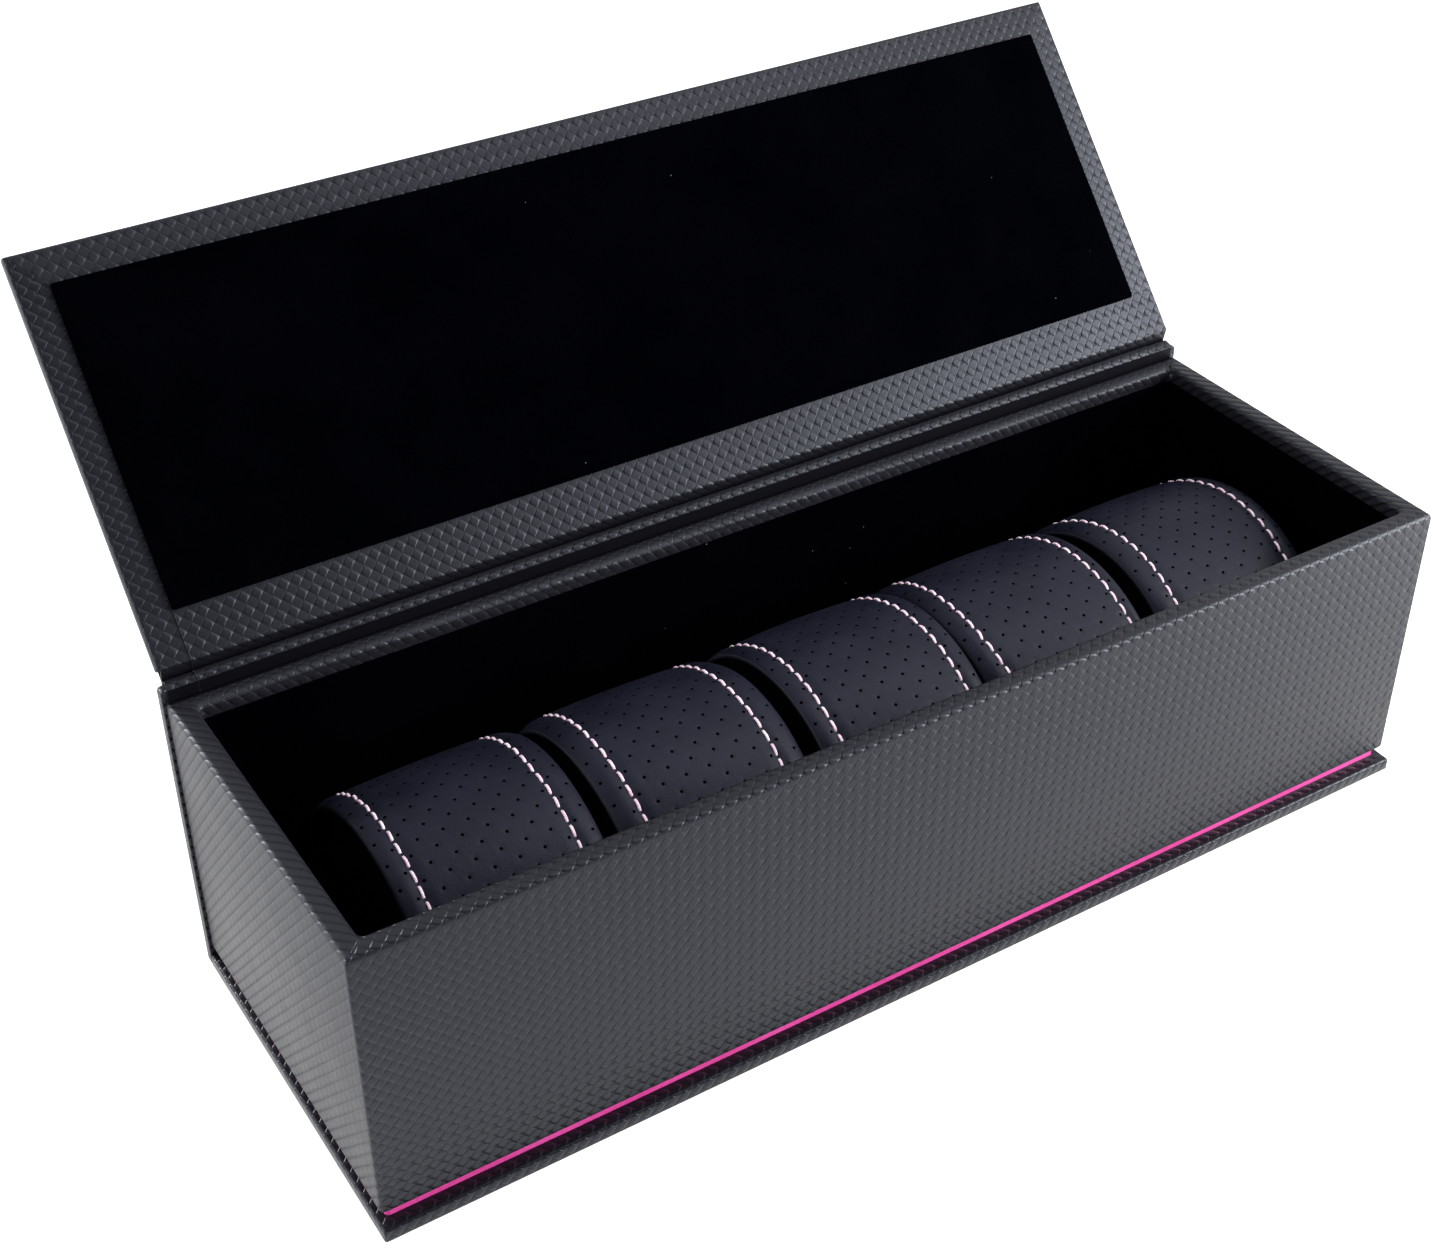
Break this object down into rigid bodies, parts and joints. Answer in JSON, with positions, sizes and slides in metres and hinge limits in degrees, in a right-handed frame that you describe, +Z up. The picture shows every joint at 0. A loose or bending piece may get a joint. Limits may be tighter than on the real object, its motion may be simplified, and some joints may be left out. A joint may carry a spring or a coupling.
{
  "type": "watch box",
  "caption": "Long hinged watch box in dark embossed covering: velvet-lined tray on a pink plinth band, lid folded back, row of removable stitched watch pillows.",
  "frame": {"origin": "centre of the tray's footprint, on the underside of the base", "axes": "+X along the box to the right, +Y from the front to the spine, +Z up"},
  "size_m": [0.3014, 0.1725, 0.1639],
  "materials": {
    "embossed_cover": "satin",
    "velvet": "matte",
    "liner_paper": "matte",
    "pink_band": "satin",
    "board": "matte",
    "magnet": "satin",
    "foam": "matte",
    "pillow_end": "matte",
    "perforated_leather": "satin",
    "thread": "satin"
  },
  "bodies": {
    "case": {"base_board": "board", "base_cover": "embossed_cover", "base_liner": "liner_paper", "plinth_board": "board", "plinth_band": "pink_band", "spine_board": "board", "spine_cover": "embossed_cover", "hinge_cover": "embossed_cover", "hinge_lining": "embossed_cover", "wall_front": "board", "wall_back": "board", "wall_left": "board", "wall_right": "board", "floor_board": "board", "tray_cover": "embossed_cover", "lining_front": "velvet", "lining_back": "velvet", "lining_left": "velvet", "lining_right": "velvet", "lining_floor": "velvet", "wall_magnets": "magnet"},
    "lid": {"lid_board": "board", "lid_cover": "embossed_cover", "lid_lining": "embossed_cover", "lid_pad": "board", "lid_velvet": "velvet", "lid_magnets": "magnet"},
    "pillow_1": {"pillow_1_core": "foam", "pillow_1_ends": "pillow_end", "pillow_1_sleeve": "perforated_leather", "pillow_1_stitching": "thread"},
    "pillow_2": {"pillow_2_core": "foam", "pillow_2_ends": "pillow_end", "pillow_2_sleeve": "perforated_leather", "pillow_2_stitching": "thread"},
    "pillow_3": {"pillow_3_core": "foam", "pillow_3_ends": "pillow_end", "pillow_3_sleeve": "perforated_leather", "pillow_3_stitching": "thread"},
    "pillow_4": {"pillow_4_core": "foam", "pillow_4_ends": "pillow_end", "pillow_4_sleeve": "perforated_leather", "pillow_4_stitching": "thread"},
    "pillow_5": {"pillow_5_core": "foam", "pillow_5_ends": "pillow_end", "pillow_5_sleeve": "perforated_leather", "pillow_5_stitching": "thread"}
  },
  "joints": [
    {"name": "lid_hinge", "type": "hinge", "parent": "case", "child": "lid", "pos_m": [0, 0.0519, 0.0855], "axis": [-1, 0, 0], "range_deg": [-131.85, 48.15], "deforming": ["hinge_cover", "hinge_lining"]},
    {"name": "pillow_1_lift", "type": "slide", "parent": "case", "child": "pillow_1", "axis": [0, 0, 1], "range_m": [0, 0.09]},
    {"name": "pillow_2_lift", "type": "slide", "parent": "case", "child": "pillow_2", "axis": [0, 0, 1], "range_m": [0, 0.09]},
    {"name": "pillow_3_lift", "type": "slide", "parent": "case", "child": "pillow_3", "axis": [0, 0, 1], "range_m": [0, 0.09]},
    {"name": "pillow_4_lift", "type": "slide", "parent": "case", "child": "pillow_4", "axis": [0, 0, 1], "range_m": [0, 0.09]},
    {"name": "pillow_5_lift", "type": "slide", "parent": "case", "child": "pillow_5", "axis": [0, 0, 1], "range_m": [0, 0.09]}
  ]
}
